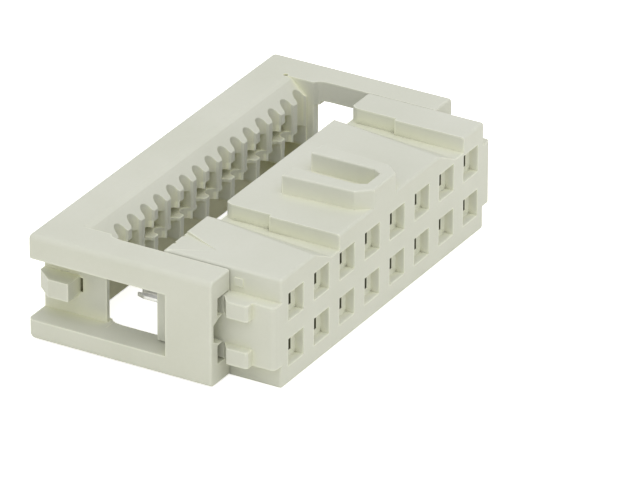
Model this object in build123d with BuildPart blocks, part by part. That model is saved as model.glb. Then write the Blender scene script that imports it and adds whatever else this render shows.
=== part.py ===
from build123d import *
import os

# Two-row flat-cable socket, lying on its side with the polarising key up.
# X runs along the rows, Y from the mating face (Y = 0) back to the cable side,
# Z up to the key. Z = 0 is half way between the two rows. Millimetres.

# Contact grid
pitch = 2.54
columns = 8
row_half = pitch / 2
grid_half = (columns - 1) * pitch / 2

# Housing block, its end ribs and the latch bumps on them
body_height = 6.1
body_depth = 6.87
end_wall = 1.41
edge_soft = 0.16
rib_proud = 0.67
rib_height = 3.5
rib_back_gap = 0.07
rib_round = 0.28
bump_proud = 0.51
bump_width = 0.9
bump_front = 1.3
bump_flat = 1.2
bump_ramp = 0.4
bump_ease = 0.12
detent_proud = 0.05
detent_middle = 2.45
detent_length = 0.5
detent_low = 2.1
detent_height = 0.45

# Mouths in the mating face and the cavities behind them
mouth = 1.5
mouth_depth = 0.5
throat = 0.95
throat_start = 0.58
land_end = 0.85
cavity_width = 1.4
cavity_low = 0.67
cavity_high = 1.85
cavity_step = 4.6
tail_left = 0.75
tail_right = 1.12
mid_wall = 0.2

# Polarising key and the two shallow channels in the top
key_height = 1.05
key_back = 4.85
key_half = 2.02
key_shoulder = 0.78
key_shoulder_half = 1.78
key_nose_half = 1.1
key_soft = 0.1
slot_half = 0.94
slot_front = 0.68
slot_shoulder = 1.16
slot_nose_half = 0.66
channel_depth = 0.86
channel_wall = 1.79
channel_slope = 1.75
channel_floor = 0.85
channel_drift = 1.15
recess_start = 4.1
recess_more = 0.2
corner_round = 0.5

# Arrow at pin 1, and three small nicks in the back edge near it
mark_length = 2.49
mark_half = 1.17
mark_depth = 0.16
mark_shift = -0.25
nick_shifts = (-0.3, 0.61, 2.94)
nick_width = 0.14
nick_depth = 0.12
nick_height = 0.3

# Contacts
sheet = 0.2
box_half = 0.6
box_front = 3.2
beam_front = 0.98
beam_touch = 1.55
beam_height = 0.8
fork_offset = pitch / 4
fork_width = 0.84
fork_slot = 0.25
fork_root = 7.0
fork_tip = 8.65

# Cable cover, held off the housing by the open travel
travel = 2.8
side_gap = 0.1
leg_thick = 1.8
cover_top = 2.95
cover_bottom = -2.95
cover_front = 2.95
cover_back = 13.66
cover_round = 0.32
leg_end_round = 0.12
column_depth = 2.66
window_top = 1.62
window_bottom = -1.82
groove_gap = 0.08
web_half_extra = 0.3
lip_front = 10.0
lip_inner = 10.05
lip_core = 0.25
gap_corner = 0.8
gap_corner_step = 0.05
teeth_front = 10.4
wire_radius = 0.38
wire_inset = 0.12
wire_flare = 0.09
slope_top = 11.7
slope_shoulder = 11.3
slope_shoulder_drop = 0.1
slope_foot_height = 1.95
block_under = -0.82
rear_wall = 1.36
lower_pocket_back = 11.75
upper_pocket_back = 11.5
pocket_step_left = 0.18
lower_pocket_left = 1.135
lower_pocket_right = 1.095
lower_ceiling = -0.05
lower_step = 0.41
upper_pocket_left = 1.15
upper_pocket_right = 1.03
upper_floor = 0.54
upper_ceiling = 1.1
upper_step = 0.37
notch_depth = 0.9
notch_inner_half = 0.78
notch_bend = 0.58
notch_bend_half = 0.7
notch_narrowing = 0.5
notch_outer_half = 0.47
catch_length = 2.08
catch_flat = 1.17
catch_proud = 1.1
catch_back_proud = 0.35
catch_low = -0.6
catch_high = 0.42
relief_width = 0.18
relief_depth = 0.3
relief_inset = 0.12
dimple_x = 10.1
dimple_y = 11.7
dimple_radius = 0.13
dimple_depth = 0.12

body_half = grid_half + end_wall
body_top = body_height / 2
rib_half = body_half + rib_proud
bump_half = rib_half + bump_proud
leg_inner = body_half + side_gap
cover_half = leg_inner + leg_thick
web_half = body_half + web_half_extra
column_back = cover_front + column_depth
back_wall = cover_back - rear_wall
catch_front = cover_back - catch_length
notch_inner = rib_half - 0.1
notch_middle = notch_inner + notch_bend
notch_outer = notch_middle + notch_narrowing
column_x = [pitch * j - grid_half for j in range(columns)]

os.makedirs("parts", exist_ok=True)

# Space of one mouth: a square pocket, an eased ledge and a short throat
with BuildPart() as mouth_tool:
    with BuildSketch(Plane.XZ.offset(0.01)):
        Rectangle(mouth, mouth)
    extrude(amount=-(mouth_depth + 0.01))
    with BuildSketch(Plane.XZ.offset(-mouth_depth)):
        Rectangle(mouth, mouth)
    with BuildSketch(Plane.XZ.offset(-throat_start)):
        Rectangle(throat, throat)
    loft(ruled=True)
    with BuildSketch(Plane.XZ.offset(-throat_start)):
        Rectangle(throat, throat)
    extrude(amount=-(land_end - throat_start))

# Housing: block with ribs, bumps, key, channels, mouths and contact cavities
with BuildPart() as housing:
    with BuildSketch(Plane.XY.offset(-body_top)):
        with Locations((0, body_depth / 2)):
            Rectangle(2 * body_half, body_depth)
    extrude(amount=body_height)
    fillet(housing.edges(), radius=edge_soft)

    # Full-depth rib on each end, its front corner rounded
    rib_depth = body_depth - rib_back_gap
    with BuildSketch(Plane.XY.offset(-rib_height / 2)) as rib_outline:
        with Locations((0, rib_depth / 2)):
            Rectangle(2 * rib_half, rib_depth)
        fillet(rib_outline.vertices().group_by(Axis.Y)[0], radius=rib_round)
    extrude(amount=rib_height)

    # Two latch bumps on each rib, flush with its top and bottom
    for side in (-1, 1):
        for low in (rib_height / 2 - bump_width, -rib_height / 2):
            with BuildSketch(Plane.XY.offset(low)):
                with BuildLine():
                    Polyline(
                        (side * (body_half - 0.1), bump_front),
                        (side * (bump_half - bump_ease), bump_front),
                        (side * bump_half, bump_front + bump_ease),
                        (side * bump_half, bump_front + bump_flat),
                        (side * rib_half, bump_front + bump_flat + bump_ramp),
                        (side * (body_half - 0.1), bump_front + bump_flat + bump_ramp),
                        close=True,
                    )
                make_face()
            extrude(amount=bump_width)

    # Small detent on the upper part of each end face
    with BuildSketch(Plane.XY.offset(detent_low)):
        with Locations((0, detent_middle)):
            Rectangle(2 * (body_half + detent_proud), detent_length)
    extrude(amount=detent_height)

    # Key: a tall U with a chamfered nose, open to the back
    with BuildSketch(Plane.XY.offset(body_top - 0.2)):
        with BuildLine():
            Polyline(
                (-key_half, key_back),
                (-key_shoulder_half, key_shoulder),
                (-key_nose_half, 0),
                (key_nose_half, 0),
                (key_shoulder_half, key_shoulder),
                (key_half, key_back),
                (slot_half, key_back),
                (slot_half, slot_shoulder),
                (slot_nose_half, slot_front),
                (-slot_nose_half, slot_front),
                (-slot_half, slot_shoulder),
                (-slot_half, key_back),
                close=True,
            )
        make_face()
    extrude(amount=key_height + 0.2)
    fillet(housing.faces().sort_by(Axis.Z)[-1].edges(), radius=key_soft)

    # Two channels: a long slope on the left of each, an upright wall on the right
    for index in (0, columns - 3):
        wall_x = column_x[index + 1] + channel_wall
        foot_x = wall_x - channel_floor
        edge_x = foot_x - channel_slope
        floor_z = body_top - channel_depth
        with BuildSketch(Plane.XZ.offset(0.5)) as front_profile:
            with BuildLine():
                Polyline(
                    (edge_x, body_top),
                    (foot_x, floor_z),
                    (wall_x, floor_z),
                    (wall_x, body_top + 0.3),
                    (edge_x, body_top + 0.3),
                    close=True,
                )
            make_face()
        with BuildSketch(Plane.XZ.offset(-body_depth - 0.5)) as back_profile:
            with BuildLine():
                Polyline(
                    (edge_x + channel_drift, body_top),
                    (wall_x - 0.05, floor_z),
                    (wall_x, floor_z),
                    (wall_x, body_top + 0.3),
                    (edge_x + channel_drift, body_top + 0.3),
                    close=True,
                )
            make_face()
        loft([front_profile.sketch, back_profile.sketch], ruled=True, mode=Mode.SUBTRACT)
        with BuildSketch(Plane.XY.offset(floor_z)):
            with Locations((wall_x, (recess_start + body_depth + 0.5) / 2)):
                Rectangle(2 * recess_more, body_depth + 0.5 - recess_start)
            with Locations((wall_x + recess_more, body_depth)):
                Polygon(
                    (-0.01, -corner_round),
                    (0.15 * corner_round, -0.5 * corner_round),
                    (0.5 * corner_round, -0.15 * corner_round),
                    (corner_round, 0.01),
                    (-0.01, 0.01),
                    align=None,
                )
        extrude(amount=channel_depth + 0.3, mode=Mode.SUBTRACT)

    # Arrow at pin 1, sloping down to the back edge
    mark_plane = Plane(
        origin=(column_x[0] + mark_shift, body_depth - mark_length, body_top),
        x_dir=(1, 0, 0),
        z_dir=(0, mark_depth, mark_length),
    )
    with BuildSketch(mark_plane):
        with BuildLine():
            Polyline(
                (0, 0),
                (mark_half * 1.2, mark_length * 1.2),
                (-mark_half * 1.2, mark_length * 1.2),
                close=True,
            )
        make_face()
    extrude(amount=0.5, mode=Mode.SUBTRACT)

    # Nicks in the back edge of the top
    with BuildSketch(Plane.XY.offset(body_top - nick_height)):
        with Locations(*[(column_x[0] + shift, body_depth) for shift in nick_shifts]):
            Rectangle(nick_width, 2 * nick_depth)
    extrude(amount=nick_height + 0.1, mode=Mode.SUBTRACT)

    # Mouths on the contact grid
    with Locations(*[(x, 0, z) for x in column_x for z in (-row_half, row_half)]):
        add(mouth_tool.part, mode=Mode.SUBTRACT)

    # Contact cavities, widened towards the mid-plane where the tails leave
    cavity_tall = cavity_high - cavity_low
    for side in (-1, 1):
        with BuildSketch(Plane.XZ.offset(-land_end)):
            with Locations(*[(x, side * (cavity_low + cavity_tall / 2)) for x in column_x]):
                Rectangle(cavity_width, cavity_tall)
        extrude(amount=-(cavity_step - land_end), mode=Mode.SUBTRACT)
        tail_mid = side * (tail_right - tail_left) / 2
        tail_tall = cavity_high - mid_wall / 2
        with BuildSketch(Plane.XZ.offset(-cavity_step)):
            with Locations(*[(x + tail_mid, side * (mid_wall + tail_tall) / 2) for x in column_x]):
                Rectangle(tail_left + tail_right, tail_tall)
        extrude(amount=-(body_depth - cavity_step + 0.5), mode=Mode.SUBTRACT)
housing.part.label = "housing"
export_step(housing.part, "parts/housing.step")

# Cover: a bar with half-round wire grooves and a leg at each end
with BuildPart() as cover:
    with BuildSketch(Plane.XY.offset(cover_bottom)):
        with Locations((0, (cover_front + cover_back) / 2)):
            Rectangle(2 * cover_half, cover_back - cover_front)
    extrude(amount=cover_top - cover_bottom)
    rear = cover.edges().filter_by(Axis.Z).group_by(Axis.Y)[-1]
    rear += cover.edges().filter_by(Axis.X).group_by(Axis.Y)[-1]
    rear += cover.edges().filter_by(Axis.Y)
    fillet(rear, radius=cover_round)
    fillet(cover.faces().sort_by(Axis.Y)[0].edges(), radius=leg_end_round)

    # Space between the legs, its far corners rounded into the end lips
    with BuildSketch(Plane.XY.offset(cover_bottom - 0.1)):
        with BuildLine():
            Polyline(
                (-leg_inner, cover_front - 0.1),
                (-leg_inner, lip_front - gap_corner),
                (-leg_inner + gap_corner_step, lip_front - gap_corner / 2),
                (-leg_inner + 3 * gap_corner_step, lip_front - gap_corner / 5),
                (-lip_inner, lip_front),
                (-lip_inner, teeth_front),
                (lip_inner, teeth_front),
                (lip_inner, lip_front),
                (leg_inner - 3 * gap_corner_step, lip_front - gap_corner / 5),
                (leg_inner - gap_corner_step, lip_front - gap_corner / 2),
                (leg_inner, lip_front - gap_corner),
                (leg_inner, cover_front - 0.1),
                close=True,
            )
        make_face()
    extrude(amount=cover_top - cover_bottom + 0.2, mode=Mode.SUBTRACT)

    # Under-cut below the grooved block, back to the rear wall
    with BuildSketch(Plane.XY.offset(cover_bottom - 0.1)):
        with Locations((0, (teeth_front - 0.1 + back_wall) / 2)):
            Rectangle(2 * lip_inner, back_wall - teeth_front + 0.1)
    extrude(amount=block_under - cover_bottom + 0.1, mode=Mode.SUBTRACT)

    # Half-round wire grooves with flared mouths
    wires = 2 * columns
    flare_front = 2 * (wire_radius + wire_flare)
    with BuildSketch(Plane.XY.offset(block_under - 0.1)):
        with Locations((0, teeth_front + wire_inset)):
            with GridLocations(pitch / 2, 1, wires, 1):
                Circle(wire_radius)
        with Locations((0, teeth_front)):
            with GridLocations(pitch / 2, 1, wires, 1):
                Polygon(
                    (-flare_front / 2, -0.01),
                    (flare_front / 2, -0.01),
                    (wire_radius, wire_inset),
                    (-wire_radius, wire_inset),
                    align=None,
                )
    extrude(amount=cover_top - block_under + 0.2, mode=Mode.SUBTRACT)

    # Bent slope that eases the top of the grooved wall
    with BuildSketch(Plane.YZ.offset(-lip_inner)):
        with BuildLine():
            Polyline(
                (slope_top, cover_top + 0.01),
                (slope_shoulder, cover_top - slope_shoulder_drop),
                (teeth_front - 0.1, slope_foot_height),
                (teeth_front - 0.1, cover_top + 0.01),
                close=True,
            )
        make_face()
    extrude(amount=2 * lip_inner, mode=Mode.SUBTRACT)

    # Pockets for the fork tips: a row below, a row half a pitch over above.
    # The left part of each has a lower ceiling than the right part.
    lower_middle = (lower_pocket_right - lower_pocket_left) / 2
    lower_wide = lower_pocket_left + lower_pocket_right
    upper_middle = (upper_pocket_right - upper_pocket_left) / 2
    upper_wide = upper_pocket_left + upper_pocket_right
    lower_y = (teeth_front + lower_pocket_back) / 2 - 0.2
    lower_length = lower_pocket_back - teeth_front + 0.4
    upper_y = (teeth_front + upper_pocket_back) / 2 - 0.2
    upper_length = upper_pocket_back - teeth_front + 0.4
    with BuildSketch(Plane.XY.offset(block_under - 0.1)):
        with Locations(*[(x + lower_middle, lower_y) for x in column_x]):
            Rectangle(lower_wide, lower_length)
    extrude(amount=lower_ceiling - block_under + 0.1, mode=Mode.SUBTRACT)
    with BuildSketch(Plane.XY.offset(lower_ceiling - 0.1)):
        with Locations(*[(x + (lower_pocket_right - pocket_step_left) / 2, lower_y) for x in column_x]):
            Rectangle(lower_pocket_right + pocket_step_left, lower_length)
    extrude(amount=0.1 + lower_step, mode=Mode.SUBTRACT)
    between_x = [x + row_half for x in column_x[:-1]]
    with BuildSketch(Plane.XY.offset(upper_floor)):
        with Locations(*[(x + upper_middle, upper_y) for x in between_x]):
            Rectangle(upper_wide, upper_length)
    extrude(amount=upper_ceiling - upper_floor, mode=Mode.SUBTRACT)
    with BuildSketch(Plane.XY.offset(upper_ceiling - 0.1)):
        with Locations(*[(x + (upper_pocket_right - pocket_step_left) / 2, upper_y) for x in between_x]):
            Rectangle(upper_pocket_right + pocket_step_left, upper_length)
    extrude(amount=0.1 + upper_step, mode=Mode.SUBTRACT)

    # Shallow ejector dimple in the top
    with BuildSketch(Plane.XY.offset(cover_top - dimple_depth)):
        with Locations((dimple_x, dimple_y)):
            Circle(dimple_radius)
    extrude(amount=dimple_depth + 0.1, mode=Mode.SUBTRACT)

    # The pin 1 lip is cored out at the height of the window
    with BuildSketch(Plane.XY.offset(window_bottom)):
        with Locations((-lip_inner - lip_core / 2, (lip_front + teeth_front) / 2)):
            Rectangle(lip_core, teeth_front - lip_front)
    extrude(amount=window_top - window_bottom, mode=Mode.SUBTRACT)

    # Side windows, and the recess that carries on behind them to the back
    for side in (-1, 1):
        with BuildSketch(Plane.XY.offset(window_bottom)):
            with Locations((side * (lip_inner + cover_half) / 2, (column_back + lip_front) / 2)):
                Rectangle(cover_half - lip_inner + 0.1, lip_front - column_back)
            with Locations((side * (web_half + cover_half) / 2, (lip_front + cover_back) / 2)):
                Rectangle(cover_half - web_half + 0.1, cover_back - lip_front + 0.2)
        extrude(amount=window_top - window_bottom, mode=Mode.SUBTRACT)

        # Strain relief catch on the web
        with BuildSketch(Plane.XY.offset(catch_low)):
            with BuildLine():
                Polyline(
                    (side * (web_half - 0.2), catch_front),
                    (side * (web_half + catch_proud), catch_front),
                    (side * (web_half + catch_proud), catch_front + catch_flat),
                    (side * (web_half + catch_back_proud), cover_back),
                    (side * (web_half - 0.2), cover_back),
                    close=True,
                )
            make_face()
        extrude(amount=catch_high - catch_low)

        # Relief slot in the web at the foot of the catch
        with BuildSketch(Plane.XY.offset(catch_low + relief_inset)):
            with Locations((side * web_half, catch_front - relief_width / 2)):
                Rectangle(2 * relief_depth, relief_width)
        extrude(amount=catch_high - catch_low - 2 * relief_inset, mode=Mode.SUBTRACT)

        # Grooves that run over the rib and its bumps
        rib_clear = rib_height / 2 + groove_gap
        groove_x = side * (body_half + rib_half + groove_gap) / 2
        with BuildSketch(Plane.XY.offset(-rib_clear)):
            with Locations((groove_x, (cover_front + lip_front - 0.25) / 2 - 0.25)):
                Rectangle(rib_proud + groove_gap, lip_front - 0.25 - cover_front + 0.5)
        extrude(amount=2 * rib_clear, mode=Mode.SUBTRACT)
        for low in (rib_height / 2 - bump_width - 0.05, -rib_clear):
            with BuildSketch(Plane.XY.offset(low)):
                with Locations((side * (leg_inner + bump_half + groove_gap) / 2, column_back / 2 + 0.2)):
                    Rectangle(bump_half + groove_gap - leg_inner, column_back + 0.2)
            extrude(amount=bump_width + 0.05 + groove_gap, mode=Mode.SUBTRACT)

        # Flared notch between the grooves at the front end of the leg
        with BuildSketch(Plane.XZ.offset(0.1 - cover_front)):
            with BuildLine():
                Polyline(
                    (side * notch_inner, notch_inner_half),
                    (side * notch_middle, notch_bend_half),
                    (side * notch_outer, notch_outer_half),
                    (side * notch_outer, -notch_outer_half),
                    (side * notch_middle, -notch_bend_half),
                    (side * notch_inner, -notch_inner_half),
                    close=True,
                )
            make_face()
        extrude(amount=-(notch_depth + 0.1), mode=Mode.SUBTRACT)
cover.part.label = "cover"
export_step(cover.part, "parts/cover.step")

# Contacts: twin beams in a box, a step to the mid-plane, a slotted fork
for number in range(1, 2 * columns + 1):
    name = f"contact_{number:02d}"
    turn = 1 if number % 2 == 1 else -1
    base = Plane(
        origin=(column_x[(number - 1) // 2], 0, 0),
        x_dir=(turn, 0, 0),
        z_dir=(0, 0, turn),
    )
    fork_left = fork_offset - fork_width / 2
    fork_right = fork_offset + fork_width / 2
    with BuildPart() as contact:
        with BuildSketch(base.offset(cavity_low)):
            with Locations((0, (box_front + cavity_step + sheet) / 2)):
                Rectangle(2 * box_half, cavity_step + sheet - box_front)
        extrude(amount=sheet)

        # Beams closing on the pin, then flaring at their tips
        with BuildSketch(base.offset(cavity_low)):
            for way in (-1, 1):
                with BuildLine():
                    Polyline(
                        (way * box_half, cavity_step),
                        (way * box_half, box_front),
                        (way * (sheet + 0.12), beam_touch),
                        (way * (sheet + 0.3), beam_front),
                        (way * 0.32, beam_front),
                        (way * 0.12, beam_touch),
                        (way * (box_half - sheet), box_front),
                        (way * (box_half - sheet), cavity_step),
                        close=True,
                    )
                make_face()
        extrude(amount=sheet + beam_height)

        # Step down to the mid-plane and the fork
        with BuildSketch(base.offset(mid_wall / 2)):
            with Locations(((fork_right - box_half) / 2, cavity_step + sheet / 2)):
                Rectangle(fork_right + box_half, sheet)
        extrude(amount=cavity_low + sheet - mid_wall / 2)
        with BuildSketch(base.offset(mid_wall / 2)):
            with BuildLine():
                Polyline(
                    (fork_left, cavity_step),
                    (fork_left, fork_tip - 0.45),
                    (fork_left + 0.14, fork_tip),
                    (fork_offset - fork_slot / 2 - 0.06, fork_tip),
                    (fork_offset - fork_slot / 2, fork_tip - 0.4),
                    (fork_offset - fork_slot / 2, fork_root),
                    (fork_offset + fork_slot / 2, fork_root),
                    (fork_offset + fork_slot / 2, fork_tip - 0.4),
                    (fork_offset + fork_slot / 2 + 0.06, fork_tip),
                    (fork_right - 0.14, fork_tip),
                    (fork_right, fork_tip - 0.45),
                    (fork_right, cavity_step),
                    close=True,
                )
            make_face()
        extrude(amount=sheet)
    contact.part.label = name
    export_step(contact.part, f"parts/{name}.step")
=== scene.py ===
import math

import bpy
from mathutils import Euler, Matrix, Vector


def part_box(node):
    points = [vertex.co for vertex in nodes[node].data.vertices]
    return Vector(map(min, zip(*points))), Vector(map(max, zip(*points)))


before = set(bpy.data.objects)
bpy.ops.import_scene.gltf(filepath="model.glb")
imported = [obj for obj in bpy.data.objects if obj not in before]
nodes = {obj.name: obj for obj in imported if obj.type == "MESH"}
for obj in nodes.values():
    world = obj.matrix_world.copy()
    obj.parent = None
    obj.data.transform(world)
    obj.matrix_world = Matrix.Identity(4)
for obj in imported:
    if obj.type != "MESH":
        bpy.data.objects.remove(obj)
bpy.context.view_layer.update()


# ---- Housing ---------------------------------------------------------------
# The socket's body: one injection moulding in a pale grey-beige glass-filled
# thermoplastic, with the key, the mouths for the header pins and a cavity
# behind each mouth. Its skin is satin, with a painted highlight along its edges.

# The melt's own two colours, then the painted light that lifts a shallow hollow
# and the painted shade that darkens a deep one, both as multipliers. The edge
# is the radius of its softened corners.
HOUSING_PALE = (0.632, 0.639, 0.566, 1)
HOUSING_DUSK = (0.588, 0.598, 0.517, 1)
HOUSING_PAINTED_RECESS_LIGHT = (1.22, 1.215, 1.12, 1)
HOUSING_PAINTED_CAVITY_SHADE = (0.16, 0.16, 0.12, 1)
HOUSING_EDGE = 0.00005


def add_node(tree, kind, sockets=None, **settings):
    """Add a shader node: its own settings first, then its sockets, where an output is linked."""
    node = tree.nodes.new(kind)
    for setting, value in settings.items():
        setattr(node, setting, value)
    for socket, value in (sockets or {}).items():
        if isinstance(value, bpy.types.NodeSocket):
            tree.links.new(value, node.inputs[socket])
        else:
            node.inputs[socket].default_value = value
    return node


def place_on_piece(tree):
    """Where a point lies on its piece, in metres."""
    return add_node(tree, "ShaderNodeTexCoord").outputs["Object"]


def noise(tree, place, scale, detail, roughness=0.5):
    """Cloudy noise from 0 to 1: the scale is about how many clouds there are to the metre."""
    return add_node(
        tree, "ShaderNodeTexNoise",
        {"Vector": place, "Scale": scale, "Detail": detail, "Roughness": roughness}).outputs["Fac"]


def ramp(tree, value, span):
    """Stretch a value: 0 at the span's first number and before it, 1 at its second and past it."""
    start, end = span
    return add_node(
        tree, "ShaderNodeMapRange",
        {"Value": value, "From Min": start, "From Max": end}).outputs["Result"]


def combine(tree, first, second, way):
    """One number made of two, such as their product or the larger of them."""
    return add_node(
        tree, "ShaderNodeMath", {0: first, 1: second}, operation=way).outputs["Value"]


def blend(tree, factor, first, second, way="MIX"):
    """Turn the first colour by the factor into the second, or into their product."""
    return add_node(
        tree, "ShaderNodeMix", {"Factor": factor, "A": first, "B": second},
        data_type="RGBA", blend_type=way).outputs["Result"]


def new_group(name, inputs, outputs):
    """Open a node group with named sockets: its tree, what it takes and what it gives."""
    tree = bpy.data.node_groups.new(name, "ShaderNodeTree")
    for in_out, sockets in (("INPUT", inputs), ("OUTPUT", outputs)):
        for socket, kind in sockets.items():
            tree.interface.new_socket(
                name=socket, in_out=in_out, socket_type="NodeSocket" + kind)
    taken = tree.nodes.new("NodeGroupInput").outputs
    given = tree.nodes.new("NodeGroupOutput").inputs
    return tree, taken, given


def add_group(tree, group, sockets):
    """Place a node group in a tree with its own values, and return its outputs."""
    return add_node(tree, "ShaderNodeGroup", sockets, node_tree=group).outputs


def new_material(name):
    """A material with one Principled shader: the material, its tree and the shader."""
    material = bpy.data.materials.new(name)
    material.use_nodes = True
    tree = material.node_tree
    tree.nodes.clear()
    shader = add_node(tree, "ShaderNodeBsdfPrincipled")
    add_node(tree, "ShaderNodeOutputMaterial", {"Surface": shader.outputs["BSDF"]})
    return material, tree, shader


def dress(node, material):
    """Give a CAD node's mesh its one material."""
    mesh = nodes[node].data
    mesh.materials.clear()
    mesh.materials.append(material)


# Flow marks: the melt's colour drifts slowly over a few millimetres, and a
# fine speckle of filler shows through the skin.
FLOW_SCALE = 170.0
FLOW_SPAN = (0.3, 0.72)
FILLER_SCALE = 5200.0
FILLER_TINT = (0.93, 0.93, 0.9, 1)

flow_marks, taken, given = new_group(
    "flow_marks", {"Pale": "Color", "Dusk": "Color", "Speckle": "Float"}, {"Color": "Color"})
place = place_on_piece(flow_marks)
drift = noise(flow_marks, place, FLOW_SCALE, detail=3.0)
paleness = ramp(flow_marks, drift, FLOW_SPAN)
melt = blend(flow_marks, paleness, taken["Dusk"], taken["Pale"])
filler = noise(flow_marks, place, FILLER_SCALE, detail=2.0)
speckle = combine(flow_marks, filler, taken["Speckle"], "MULTIPLY")
speckled = blend(flow_marks, speckle, melt, FILLER_TINT, "MULTIPLY")
flow_marks.links.new(speckled, given["Color"])

# Painted hollow light and shade: painted light warms and lifts a recess, as
# light bounced between pale walls would, and painted shade darkens a deep
# narrow cavity. The spans say how open a place is.
SHELTER_RAYS = 8
RECESS_SPAN = (0.9, 0.4)
CAVITY_SPAN = (0.34, 0.22)

painted_hollow_light_and_shade, taken, given = new_group(
    "painted_hollow_light_and_shade", {"Color": "Color", "Painted Recess Light": "Color", "Painted Cavity Shade": "Color", "Reach": "Float"},
    {"Color": "Color"})
openness = add_node(
    painted_hollow_light_and_shade, "ShaderNodeAmbientOcclusion", {"Distance": taken["Reach"]},
    samples=SHELTER_RAYS, only_local=True).outputs["AO"]
recess = ramp(painted_hollow_light_and_shade, openness, RECESS_SPAN)
cavity = ramp(painted_hollow_light_and_shade, openness, CAVITY_SPAN)
lifted_by_painted_light = blend(painted_hollow_light_and_shade, recess, taken["Color"], taken["Painted Recess Light"], "MULTIPLY")
darkened_by_painted_shade = blend(painted_hollow_light_and_shade, cavity, lifted_by_painted_light, taken["Painted Cavity Shade"], "MULTIPLY")
painted_hollow_light_and_shade.links.new(darkened_by_painted_shade, given["Color"])

# Painted edge highlight: a paler line painted along each proud edge, where a
# rounded edge catches light. Such an edge is where rays sent into the piece
# soon come out of it again.
THIN_SPAN = (0.92, 0.5)

painted_edge_highlight, taken, given = new_group(
    "painted_edge_highlight", {"Color": "Color", "Painted Highlight": "Color", "Reach": "Float"}, {"Color": "Color"})
thickness = add_node(
    painted_edge_highlight, "ShaderNodeAmbientOcclusion", {"Distance": taken["Reach"]},
    samples=SHELTER_RAYS, inside=True, only_local=True).outputs["AO"]
highlight_line = ramp(painted_edge_highlight, thickness, THIN_SPAN)
with_painted_highlight = blend(painted_edge_highlight, highlight_line, taken["Color"], taken["Painted Highlight"], "MULTIPLY")
painted_edge_highlight.links.new(with_painted_highlight, given["Color"])

# Surface grain: a fine height over softened edges, with a sheen that clouds.
BEVEL_RAYS = 6

surface_grain, taken, given = new_group(
    "surface_grain",
    {"Height": "Float", "Strength": "Float", "Depth": "Float", "Edge": "Float",
     "Gloss": "Float", "Smooth": "Float", "Rough": "Float"},
    {"Normal": "Vector", "Roughness": "Float"})
softened = add_node(
    surface_grain, "ShaderNodeBevel", {"Radius": taken["Edge"]}, samples=BEVEL_RAYS)
grain = add_node(
    surface_grain, "ShaderNodeBump",
    {"Height": taken["Height"], "Strength": taken["Strength"], "Distance": taken["Depth"],
     "Normal": softened.outputs["Normal"]})
sheen = add_node(
    surface_grain, "ShaderNodeMapRange",
    {"Value": taken["Gloss"], "To Min": taken["Smooth"], "To Max": taken["Rough"]})
surface_grain.links.new(grain.outputs["Normal"], given["Normal"])
surface_grain.links.new(sheen.outputs["Result"], given["Roughness"])

# The satin skin of both mouldings: how far the painted light and shade of a
# hollow and the painted highlight of an edge reach, and the pits that spark
# erosion leaves in the tool.
SPECKLE = 0.5
HOLLOW_REACH = 0.0012
EDGE_PAINTED_HIGHLIGHT = (1.25, 1.25, 1.24, 1)
EDGE_HIGHLIGHT_REACH = 0.00013
PIT_SCALE = 9000.0
PIT_STRENGTH = 0.16
PIT_DEPTH = 0.00002
CLOUD_SCALE = 900.0
SATIN_SMOOTH = 0.42
SATIN_ROUGH = 0.58
SATIN_SPECULAR = 0.35


def join_skin(tree, shader, color, skin):
    """Link a finished colour and a surface grain's outputs to the shader."""
    tree.links.new(color, shader.inputs["Base Color"])
    tree.links.new(skin["Roughness"], shader.inputs["Roughness"])
    tree.links.new(skin["Normal"], shader.inputs["Normal"])


def moulded_plastic(name, pale, dusk, painted_recess_light, painted_cavity_shade, edge):
    """Satin plastic: flow marks, painted light and shade in hollows, a painted edge highlight and
    a spark-eroded grain.
    """
    material, tree, shader = new_material(name)
    place = place_on_piece(tree)
    melt = add_group(tree, flow_marks, {"Pale": pale, "Dusk": dusk, "Speckle": SPECKLE})
    with_painted_light_and_shade = add_group(
        tree, painted_hollow_light_and_shade,
        {"Color": melt["Color"], "Painted Recess Light": painted_recess_light, "Painted Cavity Shade": painted_cavity_shade, "Reach": HOLLOW_REACH})
    edge_highlighted = add_group(
        tree, painted_edge_highlight, {"Color": with_painted_light_and_shade["Color"], "Painted Highlight": EDGE_PAINTED_HIGHLIGHT, "Reach": EDGE_HIGHLIGHT_REACH})
    pits = noise(tree, place, PIT_SCALE, detail=3.0, roughness=0.6)
    cloud = noise(tree, place, CLOUD_SCALE, detail=4.0)
    skin = add_group(
        tree, surface_grain,
        {"Height": pits, "Strength": PIT_STRENGTH, "Depth": PIT_DEPTH, "Edge": edge,
         "Gloss": cloud, "Smooth": SATIN_SMOOTH, "Rough": SATIN_ROUGH})
    join_skin(tree, shader, edge_highlighted["Color"], skin)
    shader.inputs["Specular IOR Level"].default_value = SATIN_SPECULAR
    return material


def zone(tree, low, high, fade):
    """Mask of a box: 1 between its low and high corners, falling to 0 over the fade around it."""
    axes = add_node(tree, "ShaderNodeSeparateXYZ", {"Vector": place_on_piece(tree)}).outputs
    mask = 1.0
    for axis, least, most in zip(axes, low, high):
        for span in ((least - fade, least), (most + fade, most)):
            mask = combine(tree, ramp(tree, axis, span), mask, "MULTIPLY")
    return mask


def paint_light_and_shade_in_box(material, low, high, fade, tint):
    """Multiply a finished material's colour by the tint inside a box, to paint light and shade
    there.
    """
    tree = material.node_tree
    base = tree.nodes["Principled BSDF"].inputs["Base Color"]
    mask = zone(tree, low, high, fade)
    with_painted_light_and_shade = blend(tree, mask, base.links[0].from_socket, tint, "MULTIPLY")
    tree.links.new(with_painted_light_and_shade, base)


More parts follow.
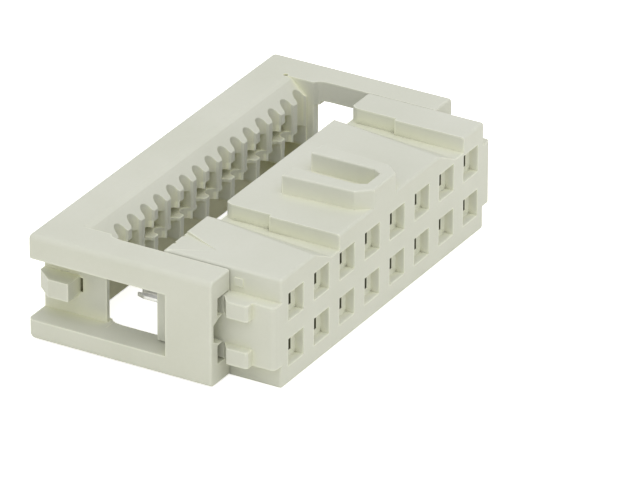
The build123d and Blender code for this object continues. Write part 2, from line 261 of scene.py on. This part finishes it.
# Painted light makes the mouths paler than the skin. Behind them the cavities
# are deep and closed, and painted shade darkens them up to a little short of
# the housing's back. Each tint fills one box around all sixteen.
COLUMNS_HALF = 0.0097
ROWS_HALF = 0.00205
MOUTH_START = 0.00003
THROAT_START = 0.00058
THROAT_FADE = 0.00002
CAVITY_STOP = 0.0008
MOUTH_PAINTED_LIGHT = (1.1, 1.1, 1.13, 1)
CAVITY_PAINTED_SHADE = (0.2, 0.2, 0.17, 1)

body_plastic = moulded_plastic(
    "body_plastic", HOUSING_PALE, HOUSING_DUSK, HOUSING_PAINTED_RECESS_LIGHT, HOUSING_PAINTED_CAVITY_SHADE, HOUSING_EDGE)
cavity_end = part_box("housing")[1][1] - CAVITY_STOP
paint_light_and_shade_in_box(
    body_plastic, (-COLUMNS_HALF, MOUTH_START, -ROWS_HALF),
    (COLUMNS_HALF, THROAT_START, ROWS_HALF), THROAT_FADE, MOUTH_PAINTED_LIGHT)
paint_light_and_shade_in_box(
    body_plastic, (-COLUMNS_HALF, THROAT_START + THROAT_FADE, -ROWS_HALF),
    (COLUMNS_HALF, cavity_end, ROWS_HALF), THROAT_FADE, CAVITY_PAINTED_SHADE)
dress("housing", body_plastic)


# ---- Cover -----------------------------------------------------------------
# The cable clamp: a second moulding in the same plastic from its own tool, so
# a touch warmer. It stands open on its two legs, and its inner wall carries
# one half-round groove for each wire.

COVER_PALE = (0.632, 0.638, 0.562, 1)
COVER_DUSK = (0.588, 0.597, 0.512, 1)
# Painted light lifts the cover's shallow hollows, and painted shade darkens its deep cavities.
COVER_PAINTED_RECESS_LIGHT = (1.36, 1.35, 1.2, 1)
COVER_PAINTED_CAVITY_SHADE = (0.34, 0.33, 0.24, 1)
COVER_EDGE = 0.00006

cover_plastic = moulded_plastic(
    "cover_plastic", COVER_PALE, COVER_DUSK, COVER_PAINTED_RECESS_LIGHT, COVER_PAINTED_CAVITY_SHADE, COVER_EDGE)

# Below its grooves and pockets the inner wall is cut back. Little light gets
# there, so painted shade makes the walls darker and warmer in a box between
# the two legs, measured from the cover's ends, its back and its lowest face.
UNDER_CUT_ENDS = 0.0021
UNDER_CUT_FRONT = 0.0034
UNDER_CUT_BACK = 0.0012
UNDER_CUT_TOP = 0.0021
UNDER_CUT_FADE = 0.0002
UNDER_CUT_PAINTED_SHADE = (0.8, 0.78, 0.6, 1)

(left, _, lowest), (right, rear, _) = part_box("cover")
paint_light_and_shade_in_box(
    cover_plastic,
    (left + UNDER_CUT_ENDS, rear - UNDER_CUT_FRONT, lowest),
    (right - UNDER_CUT_ENDS, rear - UNDER_CUT_BACK, lowest + UNDER_CUT_TOP),
    UNDER_CUT_FADE, UNDER_CUT_PAINTED_SHADE)
dress("cover", cover_plastic)


# ---- Contacts --------------------------------------------------------------
# Sixteen springs stamped from one strip and plated with bright tin. Each is
# pressed into its cavity, and its slotted fork bites through a wire's jacket.

TIN_BRIGHT = (0.74, 0.74, 0.72, 1)
TIN_CLOUDED = (0.52, 0.52, 0.5, 1)
TIN_CLOUD_SCALE = 1500.0
TIN_CLOUD_SPAN = (0.3, 0.7)
TIN_EDGE = 0.00003
TIN_SMOOTH = 0.22
TIN_ROUGH = 0.42
DRAWN_SCALE = 14000.0
DRAWN_STRETCH = (1.0, 0.06, 1.0)
DRAWN_STRENGTH = 0.15
DRAWN_DEPTH = 0.00001


def tin_plate(name):
    """Bright tin: clouded where the plate is thick, with fine lines drawn along the strip."""
    material, tree, shader = new_material(name)
    place = place_on_piece(tree)
    along = add_node(tree, "ShaderNodeMapping", {"Vector": place, "Scale": DRAWN_STRETCH})
    drawn = noise(tree, along.outputs["Vector"], DRAWN_SCALE, detail=2.0)
    cloud = noise(tree, place, TIN_CLOUD_SCALE, detail=3.0)
    brightness = ramp(tree, cloud, TIN_CLOUD_SPAN)
    plate = blend(tree, brightness, TIN_CLOUDED, TIN_BRIGHT)
    skin = add_group(
        tree, surface_grain,
        {"Height": drawn, "Strength": DRAWN_STRENGTH, "Depth": DRAWN_DEPTH, "Edge": TIN_EDGE,
         "Gloss": drawn, "Smooth": TIN_SMOOTH, "Rough": TIN_ROUGH})
    join_skin(tree, shader, plate, skin)
    shader.inputs["Metallic"].default_value = 1.0
    return material


tin = tin_plate("tin_plate")
for node in nodes:
    if node.startswith("contact_"):
        dress(node, tin)


# ---- Floor -----------------------------------------------------------------
# One large sheet of white paper under the housing's lowest face. It keeps the
# part's shadow, and glows only where the camera sees it, straight or in a
# shiny or clear face.

FLOOR_HALF = 2.0
PAPER_PALE = (0.96, 0.955, 0.89, 1)
PAPER_DUSK = (0.92, 0.915, 0.85, 1)
PAPER_MOTTLE_SCALE = 60.0
PAPER_ROUGHNESS = 0.9
PAPER_SPECULAR = 0.1
PAPER_GLOW = 0.75
WHITE = (1.0, 1.0, 1.0, 1)

floor_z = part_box("housing")[0][2]
floor_corners = ((-1, -1), (1, -1), (1, 1), (-1, 1))
floor_mesh = bpy.data.meshes.new("floor")
floor_mesh.from_pydata(
    [(x * FLOOR_HALF, y * FLOOR_HALF, floor_z) for x, y in floor_corners], [], [(0, 1, 2, 3)])
floor = bpy.data.objects.new("floor", floor_mesh)
bpy.context.collection.objects.link(floor)

paper, paper_tree, paper_shader = new_material("floor_paper")
mottle = noise(paper_tree, place_on_piece(paper_tree), PAPER_MOTTLE_SCALE, detail=2.0)
paper_color = blend(paper_tree, mottle, PAPER_DUSK, PAPER_PALE)
paper_tree.links.new(paper_color, paper_shader.inputs["Base Color"])
paper_shader.inputs["Roughness"].default_value = PAPER_ROUGHNESS
paper_shader.inputs["Specular IOR Level"].default_value = PAPER_SPECULAR
paper_shader.inputs["Emission Color"].default_value = WHITE
sight = add_node(paper_tree, "ShaderNodeLightPath").outputs
seen_or_mirrored = combine(
    paper_tree, sight["Is Camera Ray"], sight["Is Glossy Ray"], "MAXIMUM")
seen = combine(paper_tree, seen_or_mirrored, sight["Is Transmission Ray"], "MAXIMUM")
glow = combine(paper_tree, seen, PAPER_GLOW, "MULTIPLY")
paper_tree.links.new(glow, paper_shader.inputs["Emission Strength"])
floor_mesh.materials.append(paper)


# ---- Light -----------------------------------------------------------------
# A white tent with three soft boxes: one overhead and a little in front, one
# high in front that reaches into the cable gap, and one at the pin 1 end.

TENT_STRENGTH = 0.71
PART_MIDDLE = Vector((0.0, 0.006, 0.0))

tent = bpy.data.worlds.new("tent")
bpy.context.scene.world = tent
tent.use_nodes = True
tent_light = tent.node_tree.nodes["Background"]
tent_light.inputs["Color"].default_value = WHITE
tent_light.inputs["Strength"].default_value = TENT_STRENGTH


def soft_box(name, place, side, power):
    """A square lamp of the given side and power that faces the middle of the part."""
    lamp = bpy.data.lights.new(name, "AREA")
    lamp.shape = "SQUARE"
    lamp.size = side
    lamp.energy = power
    box = bpy.data.objects.new(name, lamp)
    box.location = place
    box.rotation_euler = (PART_MIDDLE - Vector(place)).to_track_quat("-Z", "Y").to_euler()
    bpy.context.collection.objects.link(box)


soft_box("overhead_box", place=(-0.03, -0.06, 0.29), side=0.30, power=0.28)
soft_box("front_box", place=(-0.02, -0.17, 0.28), side=0.22, power=0.09)
soft_box("side_box", place=(-0.24, -0.02, 0.20), side=0.25, power=0.16)


# ---- Camera ----------------------------------------------------------------
# A long lens from the pin 1 end, in front and above, as a catalogue picture is
# taken: turned 60 degrees from the mating face and looking down 27 degrees.

# The stand-off is measured along the camera's own axes, right, up and back,
# from the middle of the mating face. The focal length is in picture pixels.
AZIMUTH = math.radians(59.99)
ELEVATION = math.radians(27.03)
ROLL = math.radians(0.227)
STAND_OFF = Vector((-0.003265, 0.000692, 0.4248))
SENSOR_WIDTH = 36.0
FOCAL_PIXELS = 8404.4
PICTURE_WIDTH = 640.0
NEAREST = 0.01
FARTHEST = 20.0

tilt = Euler((math.pi / 2 - ELEVATION, 0.0, -AZIMUTH)).to_matrix()
turn = tilt @ Matrix.Rotation(ROLL, 3, "Z")
lens = bpy.data.cameras.new("camera")
lens.sensor_width = SENSOR_WIDTH
lens.lens = FOCAL_PIXELS * SENSOR_WIDTH / PICTURE_WIDTH
lens.clip_start = NEAREST
lens.clip_end = FARTHEST
camera = bpy.data.objects.new("camera", lens)
camera.matrix_world = Matrix.Translation(turn @ STAND_OFF) @ turn.to_4x4()
bpy.context.collection.objects.link(camera)
bpy.context.scene.camera = camera
bpy.context.scene.view_settings.view_transform = "Standard"
